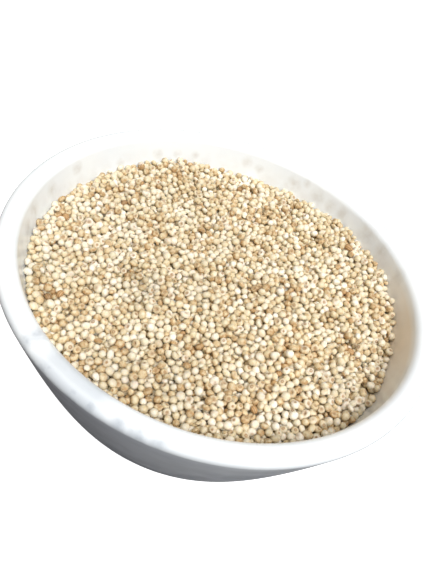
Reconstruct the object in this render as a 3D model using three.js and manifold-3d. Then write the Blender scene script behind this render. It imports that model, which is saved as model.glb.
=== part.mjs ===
// A small thick-walled bowl of white glazed ceramic, filled to just under the rim with hulled kodo millet.
// Millimetres, +Z up. The origin is on the table under the middle of the bowl, and -Y is its front.
import * as THREE from "three";
import { mergeVertices } from "three/addons/utils/BufferGeometryUtils.js";
import Module from "manifold-3d";

const { degToRad, seededRandom } = THREE.MathUtils;

// Bowl: a flared wall with a lip that is flat on top, on a low foot ring
const RIM_RADIUS = 60;
const BOWL_HEIGHT = 52.9;
const LIP_OUTER_ROUND = 2.1; // of the lip's edges, outside and inside
const LIP_INNER_ROUND = 2.5;
const LIP_FLAT = 1.2; // between the two
const OUTER_TAPER = degToRad(18.5); // from upright
const INNER_TAPER = degToRad(12);
const OUTER_WALL_REACH = 44.1; // how far down the outside keeps its taper before it turns under
const INNER_WALL_REACH = 25; // and how far down the inside does
const BELLY_RADIUS = 36; // where the outside meets the foot ring
const BELLY_REACH = 4.1; // length and slope of the turn above the foot ring
const BELLY_SLOPE = degToRad(19);
const FOOT_HEIGHT = 3;
const FOOT_OUTER_RADIUS = 34;
const FOOT_INNER_RADIUS = 28;
const FOOT_BEVEL = 0.7;
const FOOT_RECESS = 1.9; // the underside lies this far above the table
const FLOOR_HEIGHT = 8; // inside, at the middle
const FLOOR_RADIUS = 24; // the flat part of the floor
const FLOOR_CORNER = 13; // pull of the curve between floor and wall
const SIDES_ROUND = 60;
const WALL_STEPS = 6;
const LIP_STEPS = 4; // round each edge

// Millet: one bed of grains up to its uneven surface
const BED_GAP = 0.3; // between the bed and the glaze
const BED_LEVEL = 44.8; // height of the surface where it meets the wall
const BED_CROWN = 1.5; // the middle stands this much higher
const GRAIN_PITCH = 2.6; // from one grain to the next
const GRAIN_SHIFT = 0.4; // how far a grain lies off its place in the pattern
const GRAIN_RISE = 0.4; // top of a grain over the surface
const GRAIN_RISE_SPREAD = 0.28;
const GRAIN_DIP = 0.4; // hollow between three grains
const GRAIN_SEED = 11;

// Swells and hollows of the surface: compass angle from +X, distance from the middle, height and spread
const SWELLS = [
  { angle: 40, reach: 52, height: 2.3, spread: 16 }, // heaped on the wall, back right
  { angle: -10, reach: 52, height: -3.3, spread: 10.5 }, // sunk along the wall, right
  { angle: -168, reach: 52, height: 1.1, spread: 6 },
  { angle: 97, reach: 52, height: -0.7, spread: 8 },
  { angle: 122, reach: 50, height: 1.0, spread: 6 },
  { angle: 75, reach: 22, height: -0.9, spread: 11 },
  { angle: -140, reach: 24, height: 0.8, spread: 12 },
  { angle: -55, reach: 30, height: 0.7, spread: 10 },
  { angle: -95, reach: 40, height: -0.8, spread: 12 },
  { angle: 175, reach: 33, height: -0.7, spread: 9 },
];

const wasm = await Module();
wasm.setup();

// Points of the section are (distance from the axis, height)
function alongFrom(start, direction, distance) {
  return start.clone().addScaledVector(direction, distance);
}

// The direction down a wall that leans out by this much
function downWall(taper) {
  return new THREE.Vector2(-Math.sin(taper), -Math.cos(taper));
}

// The lip's outer edge, from the outside up to the flat top
function lipOutside() {
  const x = RIM_RADIUS - LIP_OUTER_ROUND;
  const y = BOWL_HEIGHT - LIP_OUTER_ROUND;
  return new THREE.EllipseCurve(x, y, LIP_OUTER_ROUND, LIP_OUTER_ROUND, -OUTER_TAPER, Math.PI / 2);
}

// The lip's inner edge, from the flat top down to the inside
function lipInside() {
  const x = RIM_RADIUS - LIP_OUTER_ROUND - LIP_FLAT;
  const y = BOWL_HEIGHT - LIP_INNER_ROUND;
  return new THREE.EllipseCurve(x, y, LIP_INNER_ROUND, LIP_INNER_ROUND, Math.PI / 2, Math.PI - INNER_TAPER);
}

// Inside of the bowl, from the lip down the wall and round to the edge of the flat floor
function innerWall() {
  const top = lipInside().getPoint(1);
  const down = downWall(INNER_TAPER);
  const floorEdge = new THREE.Vector2(FLOOR_RADIUS, FLOOR_HEIGHT);
  const corner = new THREE.Vector2(FLOOR_RADIUS + FLOOR_CORNER, FLOOR_HEIGHT);
  return new THREE.CubicBezierCurve(top, alongFrom(top, down, INNER_WALL_REACH), corner, floorEdge);
}

// Outside of the bowl, from the foot ring up to the lip
function outerWall() {
  const top = lipOutside().getPoint(0);
  const bottom = new THREE.Vector2(BELLY_RADIUS, FOOT_HEIGHT);
  const turn = new THREE.Vector2(Math.cos(BELLY_SLOPE), Math.sin(BELLY_SLOPE));
  return new THREE.CubicBezierCurve(
    bottom,
    alongFrom(bottom, turn, BELLY_REACH),
    alongFrom(top, downWall(OUTER_TAPER), OUTER_WALL_REACH),
    top,
  );
}

// The bowl's section, from the middle of the underside round to the middle of the floor inside
function bowlSection() {
  return [
    new THREE.Vector2(0, FOOT_RECESS),
    new THREE.Vector2(FOOT_INNER_RADIUS, FOOT_RECESS),
    new THREE.Vector2(FOOT_INNER_RADIUS + FOOT_BEVEL, 0),
    new THREE.Vector2(FOOT_OUTER_RADIUS - FOOT_BEVEL, 0),
    new THREE.Vector2(FOOT_OUTER_RADIUS, FOOT_BEVEL),
    ...outerWall().getPoints(WALL_STEPS),
    ...lipOutside().getPoints(LIP_STEPS).slice(1),
    ...lipInside().getPoints(LIP_STEPS).slice(0, -1),
    ...innerWall().getPoints(WALL_STEPS),
    new THREE.Vector2(0, FLOOR_HEIGHT),
  ];
}

// The room for the millet: the inside of the bowl, a small gap smaller, up to the lip
function bedSection() {
  const wall = innerWall();
  const points = [new THREE.Vector2(0, FLOOR_HEIGHT + BED_GAP)];
  for (let step = WALL_STEPS; step >= 0; step -= 1) {
    const along = wall.getTangent(step / WALL_STEPS);
    const inward = new THREE.Vector2(along.y, -along.x);
    points.push(alongFrom(wall.getPoint(step / WALL_STEPS), inward, BED_GAP));
  }
  points.push(new THREE.Vector2(0, points.at(-1).y));
  return points;
}

// A section turned round the upright axis
function turned(points) {
  return new THREE.LatheGeometry(points, SIDES_ROUND).rotateX(Math.PI / 2);
}

function bedHeight(x, y) {
  const distance = Math.hypot(x, y) / RIM_RADIUS;
  let height = BED_LEVEL + BED_CROWN * (1 - distance * distance);
  for (const swell of SWELLS) {
    const across = x - swell.reach * Math.cos(degToRad(swell.angle));
    const along = y - swell.reach * Math.sin(degToRad(swell.angle));
    height += swell.height * Math.exp(-(across * across + along * along) / (2 * swell.spread ** 2));
  }
  return height;
}

// A repeatable random amount, up to the most given, either way
function stray(most) {
  return (2 * seededRandom() - 1) * most;
}

// A block whose top is covered with grains: each grain is a low six-sided peak in a pattern of triangles,
// shifted a little out of its place, with a hollow in the middle of each triangle.
function grainBlock() {
  const rowStep = (GRAIN_PITCH * Math.sqrt(3)) / 2;
  const reach = Math.ceil(RIM_RADIUS / rowStep);
  const positions = [];
  const numberOf = new Map();

  function vertex(x, y, z) {
    positions.push(x, y, z);
    return positions.length / 3 - 1;
  }

  function grain(column, row) {
    const key = `grain ${column} ${row}`;
    if (!numberOf.has(key)) {
      const x = (column + row / 2) * GRAIN_PITCH + stray(GRAIN_SHIFT);
      const y = row * rowStep + stray(GRAIN_SHIFT);
      const rise = GRAIN_RISE + stray(GRAIN_RISE_SPREAD);
      numberOf.set(key, vertex(x, y, bedHeight(x, y) + rise));
    }
    return numberOf.get(key);
  }

  // Middle of the triangle that leans right (side 0) or left (side 1) in this place of the pattern
  function hollow(column, row, side) {
    const key = `hollow ${column} ${row} ${side}`;
    if (!numberOf.has(key)) {
      const corners = [grain(column + side, row + side), grain(column + 1, row), grain(column, row + 1)];
      const x = corners.reduce((sum, corner) => sum + positions[3 * corner], 0) / 3;
      const y = corners.reduce((sum, corner) => sum + positions[3 * corner + 1], 0) / 3;
      numberOf.set(key, vertex(x, y, bedHeight(x, y) - GRAIN_DIP));
    }
    return numberOf.get(key);
  }

  seededRandom(GRAIN_SEED);
  const faces = [];
  for (let row = -reach; row <= reach; row += 1) {
    for (let column = -reach; column <= reach; column += 1) {
      if (Math.hypot((column + row / 2) * GRAIN_PITCH, row * rowStep) > RIM_RADIUS) continue;
      const peak = grain(column, row);
      const round = [
        hollow(column, row, 0),
        hollow(column - 1, row, 1),
        hollow(column - 1, row, 0),
        hollow(column - 1, row - 1, 1),
        hollow(column, row - 1, 0),
        hollow(column, row - 1, 1),
      ];
      round.forEach((start, side) => faces.push([peak, start, round[(side + 1) % 6]]));
    }
  }
  return closedDown(positions, faces);
}

// A surface made a closed block, with a flat copy of it underneath on the table and walls round its edge
function closedDown(positions, faces) {
  const count = positions.length / 3;
  const all = positions.concat(positions.map((value, place) => (place % 3 === 2 ? 0 : value)));
  const index = [];
  const edges = new Set(faces.flatMap(([a, b, c]) => [`${a} ${b}`, `${b} ${c}`, `${c} ${a}`]));
  for (const [a, b, c] of faces) {
    index.push(a, b, c, a + count, c + count, b + count);
    for (const [from, to] of [[a, b], [b, c], [c, a]]) {
      if (edges.has(`${to} ${from}`)) continue;
      index.push(from, from + count, to, to, from + count, to + count);
    }
  }
  const block = new THREE.BufferGeometry();
  block.setAttribute("position", new THREE.Float32BufferAttribute(all, 3));
  block.setIndex(index);
  return block;
}

function solidFrom(geometry) {
  const bare = geometry.clone().deleteAttribute("normal").deleteAttribute("uv");
  const merged = mergeVertices(bare);
  const vertProperties = merged.attributes.position.array;
  const triVerts = new Uint32Array(merged.index.array);
  return new wasm.Manifold(new wasm.Mesh({ numProp: 3, vertProperties, triVerts }));
}

function geometryFrom(solid) {
  const { vertProperties, triVerts } = solid.getMesh();
  const geometry = new THREE.BufferGeometry();
  geometry.setAttribute("position", new THREE.BufferAttribute(vertProperties, 3));
  geometry.setIndex(new THREE.BufferAttribute(triVerts, 1));
  geometry.computeVertexNormals();
  return geometry;
}

function makeBowl() {
  const glaze = new THREE.MeshStandardMaterial({ color: 0xf3f2ee, roughness: 0.2, metalness: 0 });
  const bowl = new THREE.Mesh(turned(bowlSection()), glaze);
  bowl.name = "bowl";
  return bowl;
}

function makeMillet() {
  const bran = new THREE.MeshStandardMaterial({ color: 0xdcc6a0, roughness: 0.75, metalness: 0 });
  const bed = solidFrom(grainBlock()).intersect(solidFrom(turned(bedSection())));
  const millet = new THREE.Mesh(geometryFrom(bed), bran);
  millet.name = "millet";
  return millet;
}

const filledBowl = new THREE.Group();
filledBowl.add(makeBowl(), makeMillet());

export default filledBowl;
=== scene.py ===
"""A small white glazed bowl, filled to just under its rim with hulled kodo millet."""
import math

import bpy
import numpy as np
from mathutils import Matrix, Vector
from mathutils.bvhtree import BVHTree
from mathutils.kdtree import KDTree


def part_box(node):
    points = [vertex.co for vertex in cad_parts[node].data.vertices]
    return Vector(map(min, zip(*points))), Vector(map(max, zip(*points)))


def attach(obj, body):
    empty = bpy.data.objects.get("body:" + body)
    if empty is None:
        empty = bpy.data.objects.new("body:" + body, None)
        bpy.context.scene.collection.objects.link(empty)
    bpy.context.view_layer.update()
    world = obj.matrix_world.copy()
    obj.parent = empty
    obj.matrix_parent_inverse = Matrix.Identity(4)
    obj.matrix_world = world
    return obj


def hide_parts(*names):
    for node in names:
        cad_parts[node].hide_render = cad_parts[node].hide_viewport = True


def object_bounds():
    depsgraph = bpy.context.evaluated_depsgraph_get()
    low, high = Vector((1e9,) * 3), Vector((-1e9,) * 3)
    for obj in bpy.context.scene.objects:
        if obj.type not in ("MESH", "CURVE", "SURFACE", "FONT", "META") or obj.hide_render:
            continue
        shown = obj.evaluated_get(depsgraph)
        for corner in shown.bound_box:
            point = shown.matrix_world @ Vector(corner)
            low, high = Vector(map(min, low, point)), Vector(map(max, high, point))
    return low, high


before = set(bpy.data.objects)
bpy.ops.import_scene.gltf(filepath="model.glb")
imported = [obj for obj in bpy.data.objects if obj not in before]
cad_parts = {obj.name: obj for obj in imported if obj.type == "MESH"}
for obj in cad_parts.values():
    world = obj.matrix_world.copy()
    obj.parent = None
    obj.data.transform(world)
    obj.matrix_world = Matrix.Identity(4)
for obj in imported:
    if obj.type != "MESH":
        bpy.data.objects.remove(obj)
cad_low, cad_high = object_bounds()

# Camera: it stands close in front of the bowl and looks down into it. It is turned about its own line of
# sight, so the bowl leans to the right in the picture.
MM = 0.001  # metres
PICTURE_HEIGHT = 577  # pixels
FOCAL_LENGTH = 600  # pixels
LOOKING_DOWN = math.radians(44.43)
CAMERA_TURN = math.radians(21.14)
RIM_DISTANCE = 161.53 * MM  # to the middle of the rim, along the line of sight
RIM_ASIDE = 3.667 * MM  # the middle of the rim lies this far right of the line of sight
RIM_ABOVE = 8.627 * MM  # and this far above it
SENSOR_WIDTH = 36  # millimetres, along the picture's height
NEAREST_SEEN = 10 * MM

rim_middle = Vector((0, 0, cad_high.z))
line_of_sight = Vector((0, math.cos(LOOKING_DOWN), -math.sin(LOOKING_DOWN)))
level_right = Vector((1, 0, 0))
level_up = level_right.cross(line_of_sight)
camera_right = math.cos(CAMERA_TURN) * level_right + math.sin(CAMERA_TURN) * level_up
camera_up = math.cos(CAMERA_TURN) * level_up - math.sin(CAMERA_TURN) * level_right

camera = bpy.data.objects.new("camera", bpy.data.cameras.new("camera"))
camera.data.sensor_width = SENSOR_WIDTH
camera.data.lens = SENSOR_WIDTH * FOCAL_LENGTH / PICTURE_HEIGHT
camera.data.clip_start = NEAREST_SEEN
camera.matrix_world = Matrix((camera_right, camera_up, -line_of_sight)).transposed().to_4x4()
beside_rim = rim_middle - RIM_ASIDE * camera_right - RIM_ABOVE * camera_up
camera.matrix_world.translation = beside_rim - RIM_DISTANCE * line_of_sight
bpy.context.scene.collection.objects.link(camera)
bpy.context.scene.camera = camera

# Bowl: thick white stoneware, thrown on the wheel with a flared wall, a lip that is flat on top and a low
# foot ring. It is dipped in a glossy white glaze, and wiped bare under the foot ring, where it stood in the
# kiln.
LIP_OUTER_ROUND = 2.1 * MM  # of the lip's edges, outside and inside
LIP_INNER_ROUND = 2.5 * MM
LIP_FLAT = 1.2 * MM  # between the two
WALL_TAPER = math.radians(18.5)  # from upright, outside
INNER_TAPER = math.radians(12)
OUTER_WALL_REACH = 44.1 * MM  # how far down the outside keeps its taper before it turns under
INNER_WALL_REACH = 25 * MM  # and how far down the inside does
BELLY_RADIUS = 36 * MM  # where the outside meets the foot ring
BELLY_REACH = 4.1 * MM  # length and slope of the turn above the foot ring
BELLY_SLOPE = math.radians(19)
FOOT_HEIGHT = 3 * MM
FOOT_OUTER_RADIUS = 34 * MM
FOOT_INNER_RADIUS = 28 * MM
FOOT_ROUND = 0.8 * MM
FOOT_FILLET = 1.3 * MM  # between the foot ring and the belly
FOOT_RECESS = 1.9 * MM  # the underside lies this far above the table
FLOOR_HEIGHT = 8 * MM  # inside, at the middle
FLOOR_RADIUS = 24 * MM
FLOOR_CORNER = 13 * MM  # pull of the curve between floor and wall
BOWL_SIDES = 192
WALL_STEPS = 36  # points along each wall
LIP_OUTER_STEPS = 10  # round the lip's edges
LIP_INNER_STEPS = 12
FOOT_STEPS = 4  # round each edge of the foot ring
FILLET_STEPS = 5
SEAM_REACH = 1e-6  # metres, within which points of the seam are joined


def bend(start, first_pull, second_pull, end, steps):
    """Points of a smooth curve between two ends, without its start."""
    t = np.linspace(0, 1, steps + 1)[1:, None]
    near = (1 - t) ** 3 * start + 3 * (1 - t) ** 2 * t * first_pull
    return near + 3 * (1 - t) * t**2 * second_pull + t**3 * end


def arc(across, height, radius, first, last, steps):
    """Points of an arc about a centre, from one angle to another, in degrees."""
    angle = np.radians(np.linspace(first, last, steps + 1))
    return np.stack((across + radius * np.cos(angle), height + radius * np.sin(angle)), axis=1)


def bowl_section():
    """The bowl's outline, cut in half, from the middle of the underside round to the middle of the floor
    inside, and the part of it that is the inner wall."""
    _, bowl_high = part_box("bowl")
    outer_edge = np.array((bowl_high.x - LIP_OUTER_ROUND, bowl_high.z - LIP_OUTER_ROUND))
    inner_edge = np.array((outer_edge[0] - LIP_FLAT, bowl_high.z - LIP_INNER_ROUND))
    wall_down = np.array((-math.sin(WALL_TAPER), -math.cos(WALL_TAPER)))
    inside_down = np.array((-math.sin(INNER_TAPER), -math.cos(INNER_TAPER)))
    belly = np.array((BELLY_RADIUS, FOOT_HEIGHT))
    belly_turn = np.array((math.cos(BELLY_SLOPE), math.sin(BELLY_SLOPE)))
    foot_side = np.array((FOOT_OUTER_RADIUS, FOOT_ROUND))
    floor_edge = np.array((FLOOR_RADIUS, FLOOR_HEIGHT))
    lip = np.concatenate((
        arc(*outer_edge, LIP_OUTER_ROUND, -math.degrees(WALL_TAPER), 90, LIP_OUTER_STEPS),
        arc(*inner_edge, LIP_INNER_ROUND, 90, 180 - math.degrees(INNER_TAPER), LIP_INNER_STEPS),
    ))
    outer_top, inner_top = lip[0], lip[-1]
    underneath = np.concatenate((
        [(0, FOOT_RECESS)],
        arc(FOOT_INNER_RADIUS - FOOT_ROUND, FOOT_RECESS - FOOT_ROUND, FOOT_ROUND, 90, 0, FOOT_STEPS),
        arc(FOOT_INNER_RADIUS + FOOT_ROUND, FOOT_ROUND, FOOT_ROUND, 180, 270, FOOT_STEPS),
        arc(FOOT_OUTER_RADIUS - FOOT_ROUND, FOOT_ROUND, FOOT_ROUND, 270, 360, FOOT_STEPS),
        bend(foot_side, foot_side + (0, FOOT_FILLET), belly - FOOT_FILLET * belly_turn, belly, FILLET_STEPS),
    ))
    belly_pull = belly + BELLY_REACH * belly_turn
    outside = bend(belly, belly_pull, outer_top + OUTER_WALL_REACH * wall_down, outer_top, WALL_STEPS)
    floor_pull = floor_edge + (FLOOR_CORNER, 0)
    inside = bend(inner_top, inner_top + INNER_WALL_REACH * inside_down, floor_pull, floor_edge, WALL_STEPS)
    return np.concatenate((underneath, outside, lip[1:], inside, [(0, FLOOR_HEIGHT)])), inside


def add_node(tree, kind, inputs=None, **settings):
    """A new node with its settings, and each input given by name or number set to a value or linked."""
    made = tree.nodes.new(kind)
    for name, value in settings.items():
        setattr(made, name, value)
    for name, value in (inputs or {}).items():
        if isinstance(value, bpy.types.NodeSocket):
            tree.links.new(value, made.inputs[name])
        else:
            made.inputs[name].default_value = value
    return made


def work_out(tree, operation, *values):
    """The result of one step of arithmetic between node outputs or numbers."""
    return add_node(tree, "ShaderNodeMath", dict(enumerate(values)), operation=operation).outputs[0]


def combine(tree, *parts):
    """A vector from up to three node outputs or numbers."""
    return add_node(tree, "ShaderNodeCombineXYZ", dict(enumerate(parts))).outputs[0]


def open_tree(name, kind, inputs, outputs):
    """A new node tree with these named sockets, and the outputs of its input node."""
    tree = bpy.data.node_groups.new(name, kind)
    for label, socket in inputs.items():
        tree.interface.new_socket(label, in_out="INPUT", socket_type="NodeSocket" + socket)
    for label, socket in outputs.items():
        tree.interface.new_socket(label, in_out="OUTPUT", socket_type="NodeSocket" + socket)
    return tree, tree.nodes.new("NodeGroupInput").outputs


def close_tree(tree, **results):
    """Links the results to the tree's named outputs."""
    add_node(tree, "NodeGroupOutput", results)


def new_piece(name, points, edges=(), faces=()):
    """A new mesh object in the scene, at the origin."""
    mesh = bpy.data.meshes.new(name)
    mesh.from_pydata(points, edges, faces)
    piece = bpy.data.objects.new(name, mesh)
    bpy.context.scene.collection.objects.link(piece)
    return piece


def shape_by(tree, piece, values):
    """Runs a tree on a piece with these values for its inputs, and leaves the piece a plain mesh."""
    modifier = piece.modifiers.new(tree.name, "NODES")
    modifier.node_group = tree
    for socket in tree.interface.items_tree:
        if socket.in_out == "INPUT" and socket.name in values:
            modifier[socket.identifier] = values[socket.name]
    depsgraph = bpy.context.evaluated_depsgraph_get()
    shaped = bpy.data.meshes.new_from_object(
        piece.evaluated_get(depsgraph), preserve_all_data_layers=True, depsgraph=depsgraph
    )
    piece.modifiers.clear()
    rough = piece.data
    piece.data = shaped
    bpy.data.meshes.remove(rough)
    shaped.name = piece.name


def thrown_on_the_wheel():
    """Turns a section, drawn as edges in the XZ plane, about the upright axis."""
    tree, given = open_tree(
        "thrown on the wheel",
        "GeometryNodeTree",
        {"Section": "Geometry", "Sides": "Int", "Finish": "Material"},
        {"Bowl": "Geometry"},
    )
    size = add_node(tree, "GeometryNodeAttributeDomainSize", {"Geometry": given["Section"]})
    columns = work_out(tree, "ADD", given["Sides"], 1)
    grid = add_node(tree, "GeometryNodeMeshGrid", {
        "Vertices X": size.outputs["Point Count"], "Vertices Y": columns,
    })
    index = add_node(tree, "GeometryNodeInputIndex").outputs[0]
    row = work_out(tree, "FLOOR", work_out(tree, "DIVIDE", work_out(tree, "ADD", index, 0.5), columns))
    side = work_out(tree, "SUBTRACT", index, work_out(tree, "MULTIPLY", row, columns))
    place = add_node(tree, "GeometryNodeInputPosition").outputs[0]
    sample = add_node(tree, "GeometryNodeSampleIndex", {
        "Geometry": given["Section"], "Value": place, "Index": row,
    }, data_type="FLOAT_VECTOR", domain="POINT")
    point = add_node(tree, "ShaderNodeSeparateXYZ", {0: sample.outputs[0]}).outputs
    angle = work_out(tree, "DIVIDE", work_out(tree, "MULTIPLY", side, -2 * math.pi), given["Sides"])
    across = work_out(tree, "MULTIPLY", point["X"], work_out(tree, "COSINE", angle))
    along = work_out(tree, "MULTIPLY", point["X"], work_out(tree, "SINE", angle))
    placed = add_node(tree, "GeometryNodeSetPosition", {
        "Geometry": grid.outputs["Mesh"], "Position": combine(tree, across, along, point["Z"]),
    })
    closed = add_node(tree, "GeometryNodeMergeByDistance", {
        "Geometry": placed.outputs[0], "Distance": SEAM_REACH,
    })
    smooth = add_node(tree, "GeometryNodeSetShadeSmooth", {"Geometry": closed.outputs[0]})
    real = add_node(tree, "GeometryNodeRealizeInstances", {"Geometry": smooth.outputs[0]})
    finished = add_node(tree, "GeometryNodeSetMaterial", {
        "Geometry": real.outputs[0], "Material": given["Finish"],
    })
    close_tree(tree, Bowl=finished.outputs[0])
    return tree


def colour(red, green, blue):
    """A colour given in screen values, as the shaders take it."""
    values = np.array((red, green, blue)) / 255
    linear = np.where(values <= 0.04045, values / 12.92, ((values + 0.055) / 1.055) ** 2.4)
    return (*linear.tolist(), 1)


def new_material(name):
    """A new material, its tree, and the inputs of its shader."""
    material = bpy.data.materials.new(name)
    material.use_nodes = True
    return material, material.node_tree, material.node_tree.nodes["Principled BSDF"].inputs


def blend_colours(tree, share, first, second):
    """Two colours mixed by a share from 0 to 1. The node's sockets for colours are known by number."""
    return add_node(tree, "ShaderNodeMix", {0: share, 6: first, 7: second}, data_type="RGBA").outputs[2]


def spread(tree, value, low, high, to_low, to_high):
    """A value taken from one range to another, and held there."""
    return add_node(tree, "ShaderNodeMapRange", {
        0: value, 1: low, 2: high, 3: to_low, 4: to_high,
    }).outputs[0]


def noise(tree, size, detail=2.0):
    """Cloudy noise over the piece, with patches of this size in metres."""
    place = add_node(tree, "ShaderNodeTexCoord").outputs["Object"]
    return add_node(tree, "ShaderNodeTexNoise", {
        "Vector": place, "Scale": 1 / size, "Detail": detail,
    }).outputs[0]


# Stretches of the noise's values that a pattern takes: the narrower one gives it firmer edges
FIRM = 0.35, 0.65
SOFT = 0.3, 0.7


def work_out_vector(tree, operation, *vectors, scale=1.0):
    """The outputs of one step of arithmetic between vectors. The node's socket for a scale is its fourth."""
    values = {**dict(enumerate(vectors)), 3: scale}
    return add_node(tree, "ShaderNodeVectorMath", values, operation=operation).outputs


def near_to(tree, place, middle, reach, core=0):
    """1 within the core round a point of the piece, falling to 0 at the reach."""
    distance = work_out_vector(tree, "DISTANCE", place, middle)["Value"]
    return spread(tree, distance, core, reach, 1, 0)


def soft_spots(tree, place, spots):
    """1 in the middle of each spot, given by its place and reach in millimetres, ragged towards its edge."""
    mask = 0.0
    for *middle, reach in spots:
        mask = work_out(tree, "MAXIMUM", mask, near_to(tree, place, Vector(middle) * MM, reach * MM))
    return work_out(tree, "MULTIPLY", mask, spread(tree, noise(tree, 2 * MM), *FIRM, 0.45, 1))


def wall_at(height):
    """Distance of the glaze inside from the bowl's axis at these heights."""
    return np.interp(height, inner_wall[::-1, 1], inner_wall[::-1, 0])


def on_the_lip(degrees, distance, height, reach):
    """A spot's place and reach, from its direction and distance from the bowl's axis."""
    angle = math.radians(degrees)
    return distance * math.cos(angle), distance * math.sin(angle), height, reach


def on_the_wall(degrees, height, reach):
    """Place and reach of a spot on the inner wall, from its direction."""
    return on_the_lip(degrees, wall_at(height * MM) / MM, height, reach)


# Marks and painted shade on the glaze: warm painted shade on the inner wall at the right, where the grain
# has sunk and the wall lies in shade, a faint grey band all round just over the grain, painted contact shade
# in part and a tide of flour in part, floury spots over the grain, some of them painted shade on the wall,
# and on the lip a broad grey patch at the front left and smears along its edge, smudges in part and painted
# shade in part. A strength is a share of the mark's own colour.
WARM_SHADE_COLOUR = colour(236, 214, 182)
WARM_SHADE_STRENGTH = 0.72
WARM_SHADE_MIDDLE = Vector((54, 2, 45)) * MM
WARM_SHADE_REACH = 32 * MM
WARM_SHADE_FADE = 49 * MM, 51.5 * MM  # heights between which it ends, below the lip
TIDE_SHADE_COLOUR = colour(212, 207, 201)
TIDE_SHADE_STRENGTH = 0.22
TIDE_SHADE_FADE = 46 * MM, 49.5 * MM
DUST_AND_SHADE_COLOUR = colour(196, 190, 181)
DUST_AND_SHADE_STRENGTH = 0.52
DUST_AND_SHADE_SPOTS = [  # degrees from the right round by the back, height and reach in millimetres
    (24.5, 49.5, 3.5), (36.5, 49.5, 3.5), (45, 49.5, 4.5), (57, 48.5, 3), (62, 48, 3), (68, 48, 3.5),
    (73.5, 50, 1.8), (78, 47.5, 3.5), (91.5, 47.5, 2), (96.5, 48.5, 2.4), (115.5, 47, 1.8), (122, 47, 1.8),
    (129.5, 47, 2.2), (144, 45.5, 2), (162, 49, 2.6), (175, 48, 3), (186.5, 48.5, 3.2), (193, 47, 3),
]
SMUDGE_SHADE_COLOUR = colour(178, 186, 196)  # and that of the smears
SMUDGE_SHADE_STRENGTH = 0.485
SMUDGE_SHADE_MIDDLE = Vector((-21.3, -53.6, 52.9)) * MM
SMUDGE_SHADE_CORE = 6.5 * MM
SMUDGE_SHADE_REACH = 11 * MM
SMUDGE_SHADE_FADE = 50.5 * MM, 52 * MM  # heights between which it begins, on top of the lip
SMEAR_SHADE_STRENGTH = 0.9
SMEARS_AND_SHADE = [  # degrees as above, distance from the axis, height and reach in millimetres
    (235, 56.5, 52.9, 2.8), (235, 59, 52.4, 2.4), (242.5, 59, 52.3, 3.2), (250.5, 60, 51.9, 3.2),
    (254.5, 59.5, 52.2, 2.8), (261.5, 59.5, 52.3, 2.6), (265.5, 59, 52.5, 3), (266, 59.7, 52, 2.6),
    (270, 59.4, 52.2, 2.6),
]

# The glaze itself, and the bare clay under its ragged edge at the foot ring
GLAZE_SHADES = colour(243, 248, 253), colour(248, 252, 255)
CLAY_SHADES = colour(206, 198, 184), colour(226, 220, 208)
GLAZE_EDGE = 0.75 * MM, 1.0 * MM  # heights between which the clay ends
EDGE_RAGGEDNESS = 0.5 * MM
GLAZE_ROUGHNESS = 0.14, 0.24
CLAY_ROUGHNESS = 0.6  # over that of the glaze
FACING_IN = -35 * MM, -15 * MM  # distance from the axis, less where a face looks less towards the axis


def marked_glaze(tree, place, height):
    """Colour of the glaze: white and a little cloudy, with its marks and painted shade."""
    facing = add_node(tree, "ShaderNodeTexCoord").outputs["Normal"]
    level = work_out_vector(tree, "MULTIPLY", place, (1, 1, 0))["Vector"]
    outward = work_out_vector(tree, "DOT_PRODUCT", level, facing)["Value"]
    inside = spread(tree, outward, *FACING_IN, 1, 0)
    cloud = spread(tree, noise(tree, 24 * MM), *FIRM, 0, 1)
    clean = blend_colours(tree, cloud, *GLAZE_SHADES)
    # Warm painted shade on the right inner wall, for its shade and the light that the grain throws back on
    # it
    below_lip = spread(tree, height, *WARM_SHADE_FADE, WARM_SHADE_STRENGTH, 0)
    on_wall = work_out(tree, "MULTIPLY", inside, below_lip)
    warm_shade = work_out(tree, "MULTIPLY", near_to(tree, place, WARM_SHADE_MIDDLE, WARM_SHADE_REACH), on_wall)
    warm_shaded = blend_colours(tree, warm_shade, clean, WARM_SHADE_COLOUR)
    # A grey band just over the grain: painted contact shade in part, a tide of flour in part
    over_grain = spread(tree, height, *TIDE_SHADE_FADE, TIDE_SHADE_STRENGTH, 0)
    washed = spread(tree, noise(tree, 4 * MM), *FIRM, 0.2, 1)
    tide_shade = work_out(tree, "MULTIPLY", work_out(tree, "MULTIPLY", inside, over_grain), washed)
    marked = blend_colours(tree, tide_shade, warm_shaded, TIDE_SHADE_COLOUR)
    # Floury spots on the wall, some of them painted shade at the left and the back right
    floury_and_shaded = soft_spots(tree, place, [on_the_wall(*spot) for spot in DUST_AND_SHADE_SPOTS])
    dust_and_shade = work_out(tree, "MULTIPLY", floury_and_shaded, DUST_AND_SHADE_STRENGTH)
    dusty_and_shaded = blend_colours(tree, dust_and_shade, marked, DUST_AND_SHADE_COLOUR)
    # Grey on the lip at the front left and along its turned-down edge: smudges in part, painted shade in
    # part
    on_top = spread(tree, height, *SMUDGE_SHADE_FADE, 0, SMUDGE_SHADE_STRENGTH)
    broad_smudge_and_shade = near_to(tree, place, SMUDGE_SHADE_MIDDLE, SMUDGE_SHADE_REACH, SMUDGE_SHADE_CORE)
    smudge_and_shade = work_out(tree, "MULTIPLY", broad_smudge_and_shade, on_top)
    smeared_and_shaded = soft_spots(tree, place, [on_the_lip(*spot) for spot in SMEARS_AND_SHADE])
    smears_and_shade = work_out(tree, "MULTIPLY", smeared_and_shaded, SMEAR_SHADE_STRENGTH)
    return blend_colours(tree, work_out(tree, "MAXIMUM", smears_and_shade, smudge_and_shade), dusty_and_shaded, SMUDGE_SHADE_COLOUR)


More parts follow.
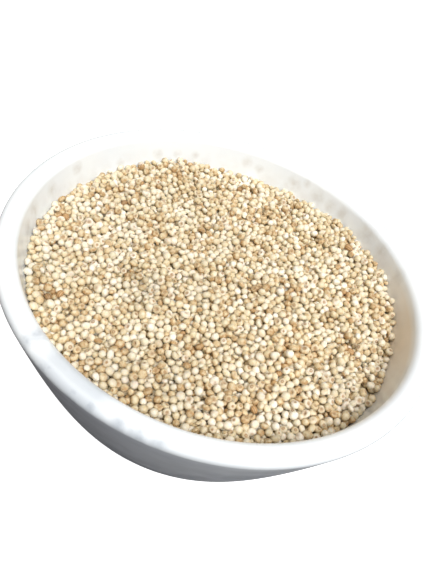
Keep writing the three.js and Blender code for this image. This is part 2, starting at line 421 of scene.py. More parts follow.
def white_glaze():
    """Glossy white glaze with its marks and painted shade, and the bare clay under the foot ring."""
    material, tree, shader = new_material("white_glaze")
    place = add_node(tree, "ShaderNodeTexCoord").outputs["Object"]
    height = add_node(tree, "ShaderNodeSeparateXYZ", {0: place}).outputs["Z"]
    glaze = marked_glaze(tree, place, height)
    grit = spread(tree, noise(tree, 0.7 * MM), *SOFT, 0, 1)
    clay = blend_colours(tree, grit, *CLAY_SHADES)
    ragged = work_out(tree, "MULTIPLY", noise(tree, 3 * MM), EDGE_RAGGEDNESS)
    glazed = spread(tree, work_out(tree, "ADD", height, ragged), *GLAZE_EDGE, 0, 1)
    tree.links.new(blend_colours(tree, glazed, clay, glaze), shader["Base Color"])
    gloss = spread(tree, noise(tree, 9 * MM), *FIRM, *GLAZE_ROUGHNESS)
    dull = work_out(tree, "MULTIPLY", work_out(tree, "SUBTRACT", 1, glazed), CLAY_ROUGHNESS)
    tree.links.new(work_out(tree, "ADD", gloss, dull), shader["Roughness"])
    ripple = add_node(tree, "ShaderNodeBump", {
        "Strength": 0.12, "Distance": 0.4 * MM, "Height": noise(tree, 7 * MM),
    })
    tree.links.new(ripple.outputs[0], shader["Normal"])
    return material


section, inner_wall = bowl_section()
bowl = new_piece(
    "glazed_bowl",
    [(across, 0, height) for across, height in section],
    [(number, number + 1) for number in range(len(section) - 1)],
)
shape_by(thrown_on_the_wheel(), bowl, {"Sides": BOWL_SIDES, "Finish": white_glaze()})
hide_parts("bowl")
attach(bowl, "root")

# Millet bed: the settled grain that fills the bowl under the loose top layers, packed by its own weight. Its
# top is a relief of grain backs, and its sides lie against the glaze.
BED_GAP = 0.3 * MM  # between the bed and the glaze
GRID_STEP = 1 * MM  # of the surface height that the frame gives
EDGE_INSET = 2.5 * MM  # nearer the wall than this, the height is that of the place further in
SMOOTH_PASSES = 6
EDGE_REACH = 50 * MM  # just inside the wall
LOOSE_DEPTH = 3.2 * MM  # the loose grains on the bed are this deep
GRAIN_PITCH = 2.12 * MM  # from one grain to the next
GRAIN_SHIFT = 0.55 * MM  # how far a grain lies off its place in the pattern
BACK_HEIGHT = 0.6 * MM  # of a grain's back over the bed
BACK_RADIUS = 1.17 * MM
BED_RINGS = 72
BED_SIDES = 216
BED_WALL_STEPS = 8
BED_SEED = 3


def frame_surface():
    """Heights of the millet's surface on a square grid, without its single grains, and the grid's reach."""
    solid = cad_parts["millet"].data
    tree = BVHTree.FromPolygons(
        [corner.co for corner in solid.vertices], [tuple(face.vertices) for face in solid.polygons]
    )
    _, bed_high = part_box("millet")
    reach = math.ceil(bed_high.x / GRID_STEP) * GRID_STEP
    inside = bed_high.x - EDGE_INSET
    ticks = np.arange(-reach, reach + GRID_STEP / 2, GRID_STEP)
    heights = np.empty((len(ticks), len(ticks)))
    for column, x in enumerate(ticks):
        for row, y in enumerate(ticks):
            pull = min(1, inside / max(math.hypot(x, y), GRID_STEP))
            above = Vector((x * pull, y * pull, cad_high.z))
            heights[column, row] = tree.ray_cast(above, Vector((0, 0, -1)))[0].z
    for _ in range(SMOOTH_PASSES):
        wide = np.pad(heights, 1, mode="edge")
        beside = wide[:-2, 1:-1] + wide[2:, 1:-1] + wide[1:-1, :-2] + wide[1:-1, 2:]
        heights = (beside + 4 * heights) / 8
    return heights, reach


surface_heights, surface_reach = frame_surface()


def surface_at(x, y):
    """Height of the millet's smooth surface at these places."""
    most = len(surface_heights) - 1.001  # just inside the last square of the grid
    column = np.clip((x + surface_reach) / GRID_STEP, 0, most)
    row = np.clip((y + surface_reach) / GRID_STEP, 0, most)
    i, j = column.astype(int), row.astype(int)
    across, along = column - i, row - j
    near = (1 - along) * surface_heights[i, j] + along * surface_heights[i, j + 1]
    far = (1 - along) * surface_heights[i + 1, j] + along * surface_heights[i + 1, j + 1]
    return (1 - across) * near + across * far


def scattered(pitch, shift, reach, rng):
    """Places in a pattern of triangles within a circle, each shifted a little at random."""
    row_step = pitch * math.sqrt(3) / 2
    most = math.ceil(reach / row_step) + 1
    row, column = np.mgrid[-most:most + 1, -2 * most:2 * most + 1]
    places = np.stack(((column + (row % 2) / 2) * pitch, row * row_step), axis=-1).reshape(-1, 2)
    places += rng.uniform(-shift, shift, places.shape)
    return places[np.hypot(places[:, 0], places[:, 1]) < reach]


def bed_shape():
    """Points and faces of the bed: rings out over its grainy top, then down the wall to the floor."""
    rng = np.random.default_rng(BED_SEED)
    backs = scattered(GRAIN_PITCH, GRAIN_SHIFT, cad_high.x, rng)
    nearest = KDTree(len(backs))
    for number, (x, y) in enumerate(backs):
        nearest.insert((x, y, 0), number)
    nearest.balance()
    angle = np.arange(BED_SIDES) / BED_SIDES * 2 * math.pi
    turn = np.stack((np.cos(angle), np.sin(angle)), axis=1)
    edge = wall_at(surface_at(*(EDGE_REACH * turn.T)) - LOOSE_DEPTH) - BED_GAP
    rings = []
    for ring in range(1, BED_RINGS + 1):
        places = turn * edge[:, None] * ring / BED_RINGS
        off = np.array([nearest.find((x, y, 0))[2] for x, y in places]) / BACK_RADIUS
        back = BACK_HEIGHT * np.sqrt(np.maximum(0, 1 - off**2))
        heights = surface_at(*places.T) - LOOSE_DEPTH - BACK_HEIGHT + back
        rings.append(np.column_stack((places, heights)))
    top = rings[-1][:, 2]
    for step in range(1, BED_WALL_STEPS + 1):
        heights = top + (FLOOR_HEIGHT + BED_GAP - top) * step / BED_WALL_STEPS
        reach = np.minimum(edge, wall_at(heights) - BED_GAP)
        rings.append(np.column_stack((turn * reach[:, None], heights)))
    middle = (0, 0, rings[0][:, 2].mean())
    faces = [(0, 1 + side, 1 + (side + 1) % BED_SIDES) for side in range(BED_SIDES)]
    for ring in range(len(rings) - 1):
        for side in range(BED_SIDES):
            here = 1 + ring * BED_SIDES + side
            beside = 1 + ring * BED_SIDES + (side + 1) % BED_SIDES
            faces.append((here, here + BED_SIDES, beside + BED_SIDES, beside))
    points = np.concatenate(([middle], *rings))
    faces.append(tuple(range(len(points) - 1, len(points) - 1 - BED_SIDES, -1)))
    return points.tolist(), faces


# Patches of painted shade on the grain, and of painted light: share of the usual brightness, and place and
# reach of each, in millimetres
PAINTED_SHADE_SHARE = 0.8
SHADED_PATCHES = [
    (-1, -43, 46, 16), (-15, -42, 46, 12), (-17, -16, 46, 9), (-3, -9, 46, 6), (39, -23, 43, 12),
    (25, -43, 45, 9), (-45, -24, 46, 8),
]
PAINTED_LIGHT_SHARE = 1.12
LIT_PATCHES = [(2, 33, 46, 16), (18, 30, 46, 14), (32, 11, 46, 14), (23, -17, 46, 13), (-6, 46, 46, 12)]

# Colours of the skin. Those between have their place from the darkest at 0 to the lightest at 1.
DARKEST_BRAN = colour(184, 149, 105)
BRAN_SHADES = {
    0.12: colour(207, 181, 140),
    0.32: colour(224, 208, 173),
    0.58: colour(233, 221, 195),
    0.86: colour(243, 234, 217),
}
LIGHTEST_BRAN = colour(252, 245, 231)
GERM_BROWN = colour(166, 132, 93)


def bran_skin():
    """Colour, roughness and height of a hulled grain's skin, from its own tint, its chalky ends with painted
    shade on its sides, its germ mark, the patch that it lies in, and patches of painted shade and painted
    light."""
    tree, given = open_tree(
        "bran skin",
        "ShaderNodeTree",
        {"Tint": "Float", "Crown": "Float", "Germ": "Float"},
        {"Color": "Color", "Roughness": "Float", "Height": "Float"},
    )
    blotch = spread(tree, noise(tree, 0.75 * MM), *SOFT, -0.17, 0.17)
    patch = spread(tree, noise(tree, 6 * MM), *SOFT, -0.1, 0.1)
    # Chalky ends and painted shade: a grain's sides are darker, as where grains touch and shade each other
    chalk_and_painted_shade = spread(tree, given["Crown"], 0, 1, -0.16, 0.1)
    own_tone = work_out(tree, "ADD", given["Tint"], chalk_and_painted_shade)
    tone = work_out(tree, "ADD", own_tone, work_out(tree, "ADD", blotch, patch))
    ramp = add_node(tree, "ShaderNodeValToRGB", {0: tone})
    stops = ramp.color_ramp.elements
    stops[0].color = DARKEST_BRAN
    stops[1].color = LIGHTEST_BRAN
    for position, shade in BRAN_SHADES.items():
        stops.new(position).color = shade
    fleck = spread(tree, noise(tree, 0.22 * MM, 1.0), *SOFT, 0.94, 1.04)
    place = add_node(tree, "ShaderNodeTexCoord").outputs["Object"]
    # Painted shade and painted light, in patches over the grain
    dull = spread(tree, soft_spots(tree, place, SHADED_PATCHES), 0, 1, 1, PAINTED_SHADE_SHARE)
    painted_light = spread(tree, soft_spots(tree, place, LIT_PATCHES), 0, 1, 1, PAINTED_LIGHT_SHARE)
    brightness = work_out(tree, "MULTIPLY", fleck, work_out(tree, "MULTIPLY", dull, painted_light))
    shaded = work_out_vector(tree, "SCALE", ramp.outputs[0], scale=brightness)["Vector"]
    marked = blend_colours(tree, given["Germ"], shaded, GERM_BROWN)
    rough = spread(tree, noise(tree, 0.4 * MM), *SOFT, 0.45, 0.65)
    close_tree(tree, Color=marked, Roughness=rough, Height=noise(tree, 0.3 * MM))
    return tree


bran = bran_skin()


def dress_in_bran(name, tint, crown, germ):
    """A material of the grain's skin. Tint, chalk with painted shade, and germ make their values in the
    material's own tree.
    """
    material, tree, shader = new_material(name)
    skin = add_node(tree, "ShaderNodeGroup", node_tree=bran)
    tree.links.new(tint(tree), skin.inputs["Tint"])
    tree.links.new(crown(tree), skin.inputs["Crown"])
    tree.links.new(germ(tree), skin.inputs["Germ"])
    tree.links.new(skin.outputs["Color"], shader["Base Color"])
    tree.links.new(skin.outputs["Roughness"], shader["Roughness"])
    dimple = add_node(tree, "ShaderNodeBump", {
        "Strength": 0.4, "Distance": 0.1 * MM, "Height": skin.outputs["Height"],
    })
    tree.links.new(dimple.outputs[0], shader["Normal"])
    shader["Specular IOR Level"].default_value = 0.35
    shader["Subsurface Weight"].default_value = 0.3
    shader["Subsurface Radius"].default_value = (1, 0.8, 0.6)
    shader["Subsurface Scale"].default_value = 0.35 * MM
    return material


def cell_tint(tree):
    """A tint for each grain back of the bed."""
    place = add_node(tree, "ShaderNodeTexCoord").outputs["Object"]
    cells = add_node(tree, "ShaderNodeTexVoronoi", {"Vector": place, "Scale": 1 / GRAIN_PITCH})
    return add_node(tree, "ShaderNodeSeparateColor", {0: cells.outputs["Color"]}).outputs[0]


def chalky_backs(tree):
    """How chalky the backs are, in patches smaller than a grain."""
    return spread(tree, noise(tree, 1.0 * MM), *SOFT, 0, 1)


def few_germs(tree):
    """Brown marks on some of the backs."""
    return spread(tree, noise(tree, 1.2 * MM), 0.6, 0.68, 0, 0.6)


bed_points, bed_faces = bed_shape()
bed = new_piece("millet_bed", bed_points, [], bed_faces)
bed.data.shade_smooth()
bed.data.materials.append(dress_in_bran("packed_bran", cell_tint, chalky_backs, few_germs))
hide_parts("millet")
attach(bed, "root")

# Loose grains: hulled kodo millet, poured in and shaken down by hand. Most are round beads, a little
# flattened. Some show the brown germ pit or a notch where the germ fell out, some are broken, and a few keep
# their husk.
GRAIN_RADIUS = 0.96 * MM  # of the ball that a grain takes up
GRAIN_SPREAD = 0.085  # share by which grains differ in size
SMALLEST = 0.75  # sizes at the ends, as shares of the usual one
LARGEST = 1.2
UNEVENNESS = 0.1  # share by which a grain is stretched or squashed along each of its axes
LAYERS = 3
TOP_LAYER_SHARE = 0.35  # how much of the last layer there is
POUR_REACH = 51.6 * MM
LAYER_STEP = 1.67 * MM
SETTLE_STEPS = 150
PAIR_STEPS = 6  # steps between two searches for neighbours
PAIR_REACH = 2.7  # grain radii within which a grain has its neighbours
FALL = 0.05 * MM  # in one step
PUSHES = 4  # in one step
PUSH_SHARE = 0.3  # of an overlap, taken back by each of the two grains in one push
LEAST_APART = 0.01 * MM  # between the middles of two grains, for the push
HIDDEN_DEPTH = 1.1 * MM  # a grain this far down hardly shows
HIDDEN = 2  # lot of such a grain
GONE = 9  # lot of a grain that slid away
TINTS = 0.14, 0.92  # of the darkest and the lightest grain
SHAPE_DRAWS = 60  # a multiple of the number of shapes of each kind
MAP_MIDDLE = Vector((0.5, 0.5, 0))  # of a grain's own map
MAP_MARGIN = 0.03  # share of a grain's square in the whole map that is left free at each side

# Hollows left by grains that slid away: across, along, and reach to the sides and down, in millimetres
HOLLOWS = [
    (45.8, -17.9, 2.6), (44.3, -25.1, 1.6), (42.4, -28.2, 1.5), (37.7, -35.0, 1.4), (30.3, -39.5, 1.2),
    (50.6, 0.5, 1.2), (39.4, -6.0, 1.2), (32.5, -15.9, 1.1), (36.3, -16.8, 1.1), (26.4, -42.8, 1.6),
    (11.9, -42.9, 1.1), (2.1, -47.2, 1.9), (-10.5, -47.3, 1.2), (-11.3, -34.8, 1.7), (-17.9, -20.4, 1.7),
    (-19.6, -3.0, 1.8), (-37.8, -27.8, 1.4), (-2.9, -9.4, 1.5), (-16.5, -13.1, 1.4),
]
GRAIN_SEED = 7
SEEDS_EACH = 10  # seeds kept for each kind


def near_pairs(points, reach):
    """Numbers of all the grains that are closer together than this, in pairs."""
    tree = KDTree(len(points))
    for number, point in enumerate(points):
        tree.insert(point, number)
    tree.balance()
    pairs = [
        (number, other)
        for number, point in enumerate(points)
        for _, other, _ in tree.find_range(point, reach)
        if other > number
    ]
    return np.array(pairs).T


def poured_grains(rng):
    """Centres and radii of grains that fell on the bed and pushed each other aside until they lay still."""
    layers = []
    for layer in range(LAYERS):
        places = scattered(GRAIN_PITCH, GRAIN_SHIFT, POUR_REACH, rng)
        if layer == LAYERS - 1:
            places = places[rng.random(len(places)) < TOP_LAYER_SHARE]
        heights = surface_at(*places.T) - LOOSE_DEPTH + GRAIN_RADIUS + layer * LAYER_STEP
        layers.append(np.column_stack((places, heights)))
    points = np.concatenate(layers)
    count = len(points)
    radii = GRAIN_RADIUS * np.clip(rng.normal(1, GRAIN_SPREAD, count), SMALLEST, LARGEST)
    for step in range(SETTLE_STEPS):
        if step % PAIR_STEPS == 0:
            first, second = near_pairs(points, PAIR_REACH * GRAIN_RADIUS)
            touching = radii[first] + radii[second]
        points[:, 2] -= FALL
        for _ in range(PUSHES):
            apart = points[first] - points[second]
            distance = np.maximum(np.linalg.norm(apart, axis=1), LEAST_APART)
            push = apart * (PUSH_SHARE * np.maximum(touching - distance, 0) / distance)[:, None]
            for axis in range(3):
                points[:, axis] += np.bincount(first, push[:, axis], count)
                points[:, axis] -= np.bincount(second, push[:, axis], count)
        lowest = surface_at(points[:, 0], points[:, 1]) - LOOSE_DEPTH + radii
        points[:, 2] = np.maximum(points[:, 2], lowest)
        reach = np.hypot(points[:, 0], points[:, 1])
        most = wall_at(points[:, 2]) - radii / math.cos(INNER_TAPER)
        points[:, :2] *= np.minimum(1, most / np.maximum(reach, MM))[:, None]
    return points, radii


def grain_shape(name, half_size, rings, sides, dents=()):
    """A grain of this half size, in grain radii, as rings of points from its top down. A ring has its angle
    from the top, its share of the full radius and its germ mark. Dents are pressed in: direction, depth,
    width in degrees and germ mark."""
    directions = [(0, 0, 1)]
    for from_top, _, _ in rings[1:-1]:
        slope = math.radians(from_top)
        for side in range(sides):
            around = 2 * math.pi * side / sides
            directions.append((
                math.sin(slope) * math.cos(around), math.sin(slope) * math.sin(around), math.cos(slope)
            ))
    directions = np.array([*directions, (0, 0, -1)])
    around_each = [1, *[sides] * (len(rings) - 2), 1]
    share = np.repeat([ring[1] for ring in rings], around_each).astype(float)
    germ = np.repeat([ring[2] for ring in rings], around_each).astype(float)
    for direction, depth, width, mark in dents:
        off = np.arccos(np.clip(directions @ np.array(Vector(direction).normalized()), -1, 1))
        pressed = np.exp(-((off / math.radians(width)) ** 2))
        share *= 1 - depth * pressed
        germ = np.maximum(germ, mark * pressed)
    last = len(directions) - 1
    faces = []
    for side in range(sides):
        beside = (side + 1) % sides
        faces.append((0, 1 + side, 1 + beside))
        for high in range(1, last - sides, sides):
            low = high + sides
            faces.append((high + side, low + side, low + beside, high + beside))
        faces.append((last, last - sides + beside, last - sides + side))
    mesh = bpy.data.meshes.new(name)
    mesh.from_pydata((directions * share[:, None] * half_size * GRAIN_RADIUS).tolist(), [], faces)
    mesh.attributes.new("germ", "FLOAT", "POINT").data.foreach_set("value", germ)
    # Ends lighter and sides darker: chalk in part, painted shade where grains touch in part
    mesh.attributes.new("crown", "FLOAT", "POINT").data.foreach_set("value", directions[:, 2] ** 2)
    lay_flat(mesh, directions, last)
    return bpy.data.objects.new(name, mesh)


def lay_flat(mesh, points, last):
    """The grain's own round map: its top in the middle, its bottom round the edge."""
    flat = mesh.uv_layers.new(name="grain_map").data
    for face in mesh.polygons:
        corners = [number for number in face.vertices if number not in (0, last)]
        facing = sum((Vector(points[number][:2]).normalized() for number in corners), Vector((0, 0)))
        for corner in face.loop_indices:
            number = mesh.loops[corner].vertex_index
            away = facing if number in (0, last) else Vector(points[number][:2])
            upward = points[number][2] / np.linalg.norm(points[number])
            from_middle = 0.5 * math.acos(max(-1, min(1, upward))) / math.pi
            flat[corner].uv = MAP_MIDDLE.xy + from_middle * away.normalized()


def draw(tree, given, kind, low, high, order):
    """A random value for each grain. The node has sockets of its own for each kind of value."""
    first = {"FLOAT_VECTOR": 0, "FLOAT": 2, "INT": 4}[kind]
    seed = work_out(tree, "ADD", given["Seed"], order)
    made = add_node(tree, "FunctionNodeRandomValue", {
        first: low, first + 1: high, 8: seed,
    }, data_type=kind)
    return made.outputs[{"FLOAT_VECTOR": 0, "FLOAT": 1, "INT": 2}[kind]]


def carried(tree, name, kind):
    """Reads a value that each grain carries under a name."""
    return add_node(tree, "GeometryNodeInputNamedAttribute", {"Name": name}, data_type=kind).outputs[0]


def keep(tree, geometry, name, value, kind, domain):
    """Stores a value on the grains under a name."""
    return add_node(tree, "GeometryNodeStoreNamedAttribute", {
        "Geometry": geometry, "Name": name, "Value": value,
    }, data_type=kind, domain=domain).outputs[0]


def tipped_at_random(tree, given):
    """How each grain lies: turned round, tipped to a side and, for a share of them, turned over."""
    down = work_out(tree, "MULTIPLY", given["Tilt"], -1)
    lowest = combine(tree, down, down, 0)
    highest = combine(tree, given["Tilt"], given["Tilt"], 2 * math.pi)
    tipped = draw(tree, given, "FLOAT_VECTOR", lowest, highest, 0)
    over = work_out(tree, "LESS_THAN", draw(tree, given, "FLOAT", 0.0, 1.0, 1), given["Turned Over"])
    upset = combine(tree, work_out(tree, "MULTIPLY", over, math.pi))
    angles = work_out_vector(tree, "ADD", tipped, upset)["Vector"]
    return add_node(tree, "FunctionNodeEulerToRotation", {0: angles}).outputs[0]


def uneven_size(tree, given):
    """How large each grain is along each axis: its own size, stretched or squashed a little."""
    thin = work_out(tree, "SUBTRACT", 1, given["Unevenness"])
    thick = work_out(tree, "ADD", 1, given["Unevenness"])
    least = combine(tree, thin, thin, thin)
    most = combine(tree, thick, thick, thick)
    stretch = draw(tree, given, "FLOAT_VECTOR", least, most, 2)
    return work_out_vector(tree, "SCALE", stretch, scale=carried(tree, "grain_size", "FLOAT"))["Vector"]


def square_in_map(tree, given):
    """Places in the whole map, in which each grain's own map fills a square of its own."""
    cell = carried(tree, "cell", "FLOAT")
    rows_down = work_out(tree, "DIVIDE", work_out(tree, "ADD", cell, 0.5), given["Map Columns"])
    row = work_out(tree, "FLOOR", rows_down)
    column = work_out(tree, "SUBTRACT", cell, work_out(tree, "MULTIPLY", row, given["Map Columns"]))
    own_map = carried(tree, "grain_map", "FLOAT_VECTOR")
    filled = 1 - 2 * MAP_MARGIN
    margin = (MAP_MARGIN, MAP_MARGIN, 0)
    inset = work_out_vector(tree, "MULTIPLY_ADD", own_map, (filled, filled, 0), margin)["Vector"]
    laid = work_out_vector(tree, "ADD", inset, combine(tree, column, row))["Vector"]
    share = work_out(tree, "DIVIDE", 1, given["Map Columns"])
    return work_out_vector(tree, "SCALE", laid, scale=share)["Vector"]


def poured_by_hand():
    """Puts a grain on each point, turned and tipped at random, with its own tint and place in the map."""
    tree, given = open_tree(
        "poured by hand",
        "GeometryNodeTree",
        {
            "Places": "Geometry", "Shapes": "Collection", "Tilt": "Float", "Turned Over": "Float",
            "Unevenness": "Float", "Seed": "Int", "Map Columns": "Int", "Finish": "Material",
        },
        {"Grains": "Geometry"},
    )
    shapes = add_node(tree, "GeometryNodeCollectionInfo", {
        "Collection": given["Shapes"], "Separate Children": True, "Reset Children": True,
    })
    grains = add_node(tree, "GeometryNodeInstanceOnPoints", {
        "Points": given["Places"], "Instance": shapes.outputs[0], "Pick Instance": True,
        "Instance Index": draw(tree, given, "INT", 0, SHAPE_DRAWS - 1, 3),
        "Rotation": tipped_at_random(tree, given), "Scale": uneven_size(tree, given),
    }).outputs[0]
    tint = draw(tree, given, "FLOAT", *TINTS, 4)
    grains = keep(tree, grains, "tint", tint, "FLOAT", "INSTANCE")
    number = add_node(tree, "GeometryNodeInputIndex").outputs[0]
    grains = keep(tree, grains, "cell", number, "FLOAT", "INSTANCE")
    grains = add_node(tree, "GeometryNodeRealizeInstances", {"Geometry": grains}).outputs[0]
    grains = keep(tree, grains, "OFBake", square_in_map(tree, given), "FLOAT2", "CORNER")
    for name in ("cell", "grain_size"):
        grains = add_node(tree, "GeometryNodeRemoveAttribute", {
            "Geometry": grains, "Name": name,
        }).outputs[0]
    smooth = add_node(tree, "GeometryNodeSetShadeSmooth", {"Geometry": grains}).outputs[0]
    finished = add_node(tree, "GeometryNodeSetMaterial", {
        "Geometry": smooth, "Material": given["Finish"],
    }).outputs[0]
    close_tree(tree, Grains=finished)
    return tree


def own_value(name):
    """A reader, for a material's tree, of a value that each grain carries."""
    def read(tree):
        return add_node(tree, "ShaderNodeAttribute", attribute_name=name).outputs["Fac"]
    return read


HUSK_STRIPES = 60  # how close they are: radians of their wave across the map
HUSK_SHADES = colour(168, 128, 84), colour(206, 168, 120)
DARK_HUSK = colour(84, 62, 44)


def husk():
    """Brown husk, striped from end to end, and darker on some grains."""
    material, tree, shader = new_material("millet_husk")
    tint = own_value("tint")(tree)
    flat = add_node(tree, "ShaderNodeUVMap", uv_map="grain_map").outputs[0]
    centred = work_out_vector(tree, "SUBTRACT", flat, MAP_MIDDLE)["Vector"]
    across = add_node(tree, "ShaderNodeSeparateXYZ", {0: centred}).outputs
    wave = work_out(tree, "SINE", work_out(tree, "MULTIPLY", across["Y"], HUSK_STRIPES))
    stripe = spread(tree, wave, -0.6, 0.8, 0, 1)
    skin = blend_colours(tree, stripe, *HUSK_SHADES)
    dark = spread(tree, tint, 0.6, 1.0, 0, 0.6)
    tree.links.new(blend_colours(tree, dark, skin, DARK_HUSK), shader["Base Color"])
    tree.links.new(spread(tree, noise(tree, 0.4 * MM), *SOFT, 0.4, 0.6), shader["Roughness"])
    ridges = add_node(tree, "ShaderNodeBump", {"Strength": 0.4, "Distance": 0.08 * MM, "Height": stripe})
    tree.links.new(ridges.outputs[0], shader["Normal"])
    return material


# Rings of the shapes: angle from the top, share of the radius, germ mark
ROUND = [(0, 1, 0), (38, 1, 0), (74, 1, 0), (106, 1, 0), (142, 1, 0), (180, 1, 0)]
PLAIN = [(0, 1, 0), (52, 1, 0), (92, 1, 0), (132, 1, 0), (180, 1, 0)]
TIPPED = [(0, 1.18, 0.5), (26, 1.04, 0.2), (62, 1, 0), (100, 1, 0), (140, 1, 0), (180, 1, 0)]
BACK = [(64, 1, 0), (96, 1, 0), (136, 1, 0), (180, 1, 0)]
SMALL_PIT = [(0, 0.76, 1), (13, 0.78, 1), (22, 0.95, 0.4), (35, 1, 0.05), *BACK]
WIDE_PIT = [(0, 0.68, 0.8), (16, 0.68, 0.9), (28, 0.80, 0.8), (38, 0.99, 0.15), *BACK]
RINGED_PIT = [(0, 0.92, 0.3), (11, 0.85, 0.8), (22, 0.78, 1), (34, 0.98, 0.2), *BACK]
CUP = [(0, 0.28, 0.9), (18, 0.34, 0.9), (33, 0.62, 0.7), (45, 0.96, 0.15), *BACK]
CUT = [(0, 0.35, 0.2), (35, 0.42, 0.2), (64, 0.82, 0), (90, 1, 0), (122, 1, 0), (180, 1, 0)]

# Dents: direction, depth, width in degrees, germ mark
FLATS = [
    ((0.9, 0.3, 0.5), 0.21, 42, 0),
    ((-0.6, 0.7, 0.3), 0.24, 40, 0.1),
    ((-0.2, -0.9, 0.5), 0.2, 42, 0),
]
DISHED = ((0.2, 0.1, 1), 0.2, 46, 0.15)
SLOT = ((0.9, 0, 0.5), 0.52, 33, 0.8)
CREASE = ((0.1, 0.6, 0.9), 0.40, 30, 0.8)
BITE = ((0.3, 0.9, 0.2), 0.28, 50, 0.2)

GRAIN_SHAPES = {
    "whole": [
        grain_shape("bead_round", (1.13, 1.07, 0.95), ROUND, 10, FLATS[:1]),
        grain_shape("bead_oval", (1.28, 1.02, 0.91), ROUND, 10, FLATS[1:]),
        grain_shape("bead_flat", (1.22, 1.13, 0.79), ROUND, 10, [DISHED]),
        grain_shape("bead_blocky", (1.21, 1.13, 1.02), ROUND, 10, FLATS),
        grain_shape("bead_tipped", (1.09, 1.05, 1.02), TIPPED, 10, FLATS[:1]),
    ],
    "pitted": [
        grain_shape("pit_small", (1.14, 1.08, 0.93), SMALL_PIT, 9, FLATS[:1]),
        grain_shape("pit_wide", (1.21, 1.07, 0.91), WIDE_PIT, 9, FLATS[1:2]),
        grain_shape("pit_ringed", (1.16, 1.09, 0.91), RINGED_PIT, 9, FLATS[2:]),
        grain_shape("pit_cup", (1.19, 1.07, 0.98), CUP, 9),
    ],
    "notched": [
        grain_shape("crescent", (1.23, 1.12, 0.93), CUP, 9, [SLOT]),
        grain_shape("bean", (1.28, 1.09, 0.91), ROUND, 12, [CREASE, FLATS[1]]),
        grain_shape("side_notch", (1.21, 1.12, 0.91), ROUND, 12, [SLOT, FLATS[2]]),
    ],
    "broken": [
        grain_shape("half_grain", (1.02, 0.86, 0.74), CUT, 9),
        grain_shape("chip", (0.77, 0.58, 0.53), CUT, 8, [BITE]),
    ],
    "husked": [
        grain_shape("husk_long", (1.21, 0.93, 0.77), ROUND, 12),
    ],
    "under": [
        grain_shape("bead_below", (1.16, 1.08, 0.93), PLAIN, 8),
    ],
}

grain_rng = np.random.default_rng(GRAIN_SEED)
grain_places, grain_radii = poured_grains(grain_rng)
grain_depth = surface_at(grain_places[:, 0], grain_places[:, 1]) - grain_places[:, 2]
lot = grain_rng.random(len(grain_places))
lot[grain_depth > HIDDEN_DEPTH] = HIDDEN
for across, along, reach in HOLLOWS:
    off = np.hypot(grain_places[:, 0] - across * MM, grain_places[:, 1] - along * MM)
    lot[(off < reach * MM) & (grain_depth < reach * MM)] = GONE
pouring = poured_by_hand()
loose_bran = dress_in_bran("loose_bran", own_value("tint"), own_value("crown"), own_value("germ"))

# Kinds of grain: name, lot up to which a grain is of this kind, tilt in radians, share that is turned over,
# columns of the map, finish
GRAIN_KINDS = [
    ("whole", 0.56, 0.9, 0.5, 38, loose_bran),
    ("pitted", 0.79, 0.75, 0.12, 24, loose_bran),
    ("notched", 0.93, 0.7, 0.1, 18, loose_bran),
    ("broken", 0.994, 1.0, 0.3, 13, loose_bran),
    ("husked", 1.0, 0.8, 0.5, 4, husk()),
    ("under", 3.0, 0.9, 0.5, 52, loose_bran),
]
drawn_to = 0.0
for order, (kind, drawn, tilt, turned_over, map_columns, finish) in enumerate(GRAIN_KINDS):
    chosen = (lot >= drawn_to) & (lot < drawn)
    drawn_to = drawn
    grains = new_piece("millet_" + kind, grain_places[chosen].tolist())
    sizes = grains.data.attributes.new("grain_size", "FLOAT", "POINT")
    sizes.data.foreach_set("value", grain_radii[chosen] / GRAIN_RADIUS)
    shapes = bpy.data.collections.new("shapes_" + kind)
    for shape in GRAIN_SHAPES[kind]:
        shapes.objects.link(shape)
    shape_by(pouring, grains, {
        "Shapes": shapes, "Tilt": tilt, "Turned Over": turned_over, "Unevenness": UNEVENNESS,
        "Seed": GRAIN_SEED + SEEDS_EACH * order, "Map Columns": map_columns, "Finish": finish,
    })
    for shape in GRAIN_SHAPES[kind]:
        bpy.data.objects.remove(shape)
    bpy.data.collections.remove(shapes)
    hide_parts("millet")
    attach(grains, "root")

# Studio: a pale floor under the bowl, a large round light from the front right and a wider, warmer one
# overhead. The floor is white to the camera alone. At the front left it gives the bowl little light back, so
# the outside of the wall is in shade there.
FLOOR_SIZE = 4.0  # metres from the middle to each edge
FLOOR_GAP = 0.1 * MM  # under the foot ring
FLOOR_SHADES = colour(244, 244, 244), colour(248, 248, 248)
FLOOR_GLOW = 0.8  # strength, to the camera alone
GIVEN_BACK = colour(46, 45, 54), colour(200, 202, 206)  # at the front left, and elsewhere
LIT_RIGHT = 62 * MM, 172 * MM  # places between which the one turns into the other
LIT_BEHIND = -60 * MM, 130 * MM
floor = new_piece(
    "floor",
    [(x * FLOOR_SIZE, y * FLOOR_SIZE, -FLOOR_GAP) for x, y in ((-1, -1), (1, -1), (1, 1), (-1, 1))],
    [],
    [(0, 1, 2, 3)],
)


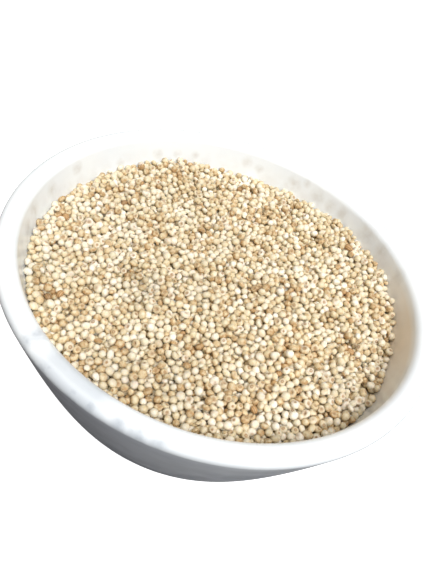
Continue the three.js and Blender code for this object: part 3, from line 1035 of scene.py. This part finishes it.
def pale_floor():
    """White where the camera sees it. The bowl gets light back from the right and from behind alone."""
    material, tree, shader = new_material("pale_floor")
    seen = add_node(tree, "ShaderNodeLightPath").outputs["Is Camera Ray"]
    speck = spread(tree, noise(tree, 6 * MM), *SOFT, 0, 1)
    pale = blend_colours(tree, speck, *FLOOR_SHADES)
    place = add_node(tree, "ShaderNodeTexCoord").outputs["Object"]
    part = add_node(tree, "ShaderNodeSeparateXYZ", {0: place}).outputs
    to_the_right = spread(tree, part["X"], *LIT_RIGHT, 0, 1)
    behind = spread(tree, part["Y"], *LIT_BEHIND, 0, 1)
    lit = work_out(tree, "MAXIMUM", to_the_right, behind)
    given_back = blend_colours(tree, lit, *GIVEN_BACK)
    tree.links.new(blend_colours(tree, seen, given_back, pale), shader["Base Color"])
    shader["Roughness"].default_value = 0.9
    shader["Emission Color"].default_value = (1, 1, 1, 1)
    tree.links.new(work_out(tree, "MULTIPLY", seen, FLOOR_GLOW), shader["Emission Strength"])
    return material


floor.data.materials.append(pale_floor())

LAMP_DISTANCE = 2.7  # metres from the middle of the rim
COOL = (0.98, 0.995, 1)
WARM = (1, 0.95, 0.88)


def soft_light(name, direction, elevation, size, power, tone):
    """A round lamp that faces the middle of the rim, from a compass direction and height in degrees."""
    lamp = bpy.data.objects.new(name, bpy.data.lights.new(name, "AREA"))
    lamp.data.shape = "DISK"
    lamp.data.size = size
    lamp.data.energy = power
    lamp.data.color = tone
    around, up = math.radians(direction), math.radians(elevation)
    toward = Vector((math.cos(up) * math.cos(around), math.cos(up) * math.sin(around), math.sin(up)))
    lamp.matrix_world = toward.to_track_quat("Z", "Y").to_matrix().to_4x4()
    lamp.matrix_world.translation = rim_middle + LAMP_DISTANCE * toward
    bpy.context.scene.collection.objects.link(lamp)


soft_light("key_light", direction=-50, elevation=53.5, size=1.6, power=72, tone=COOL)
soft_light("top_light", direction=185, elevation=81, size=2.7, power=33, tone=WARM)

SKY_SEEN = (0.92, 0.92, 0.92, 1)  # behind the bowl
SKY_LIGHT = 0.2  # strength of the light that it gives the bowl
world = bpy.data.worlds.new("studio")
world.use_nodes = True
backdrop = world.node_tree.nodes["Background"].inputs
directly_seen = add_node(world.node_tree, "ShaderNodeLightPath").outputs["Is Camera Ray"]
sky = blend_colours(world.node_tree, directly_seen, (*WARM, 1), SKY_SEEN)
world.node_tree.links.new(sky, backdrop["Color"])
sky_strength = spread(world.node_tree, directly_seen, 0, 1, SKY_LIGHT, 1.0)
world.node_tree.links.new(sky_strength, backdrop["Strength"])
bpy.context.scene.world = world
bpy.context.scene.view_settings.view_transform = "Standard"
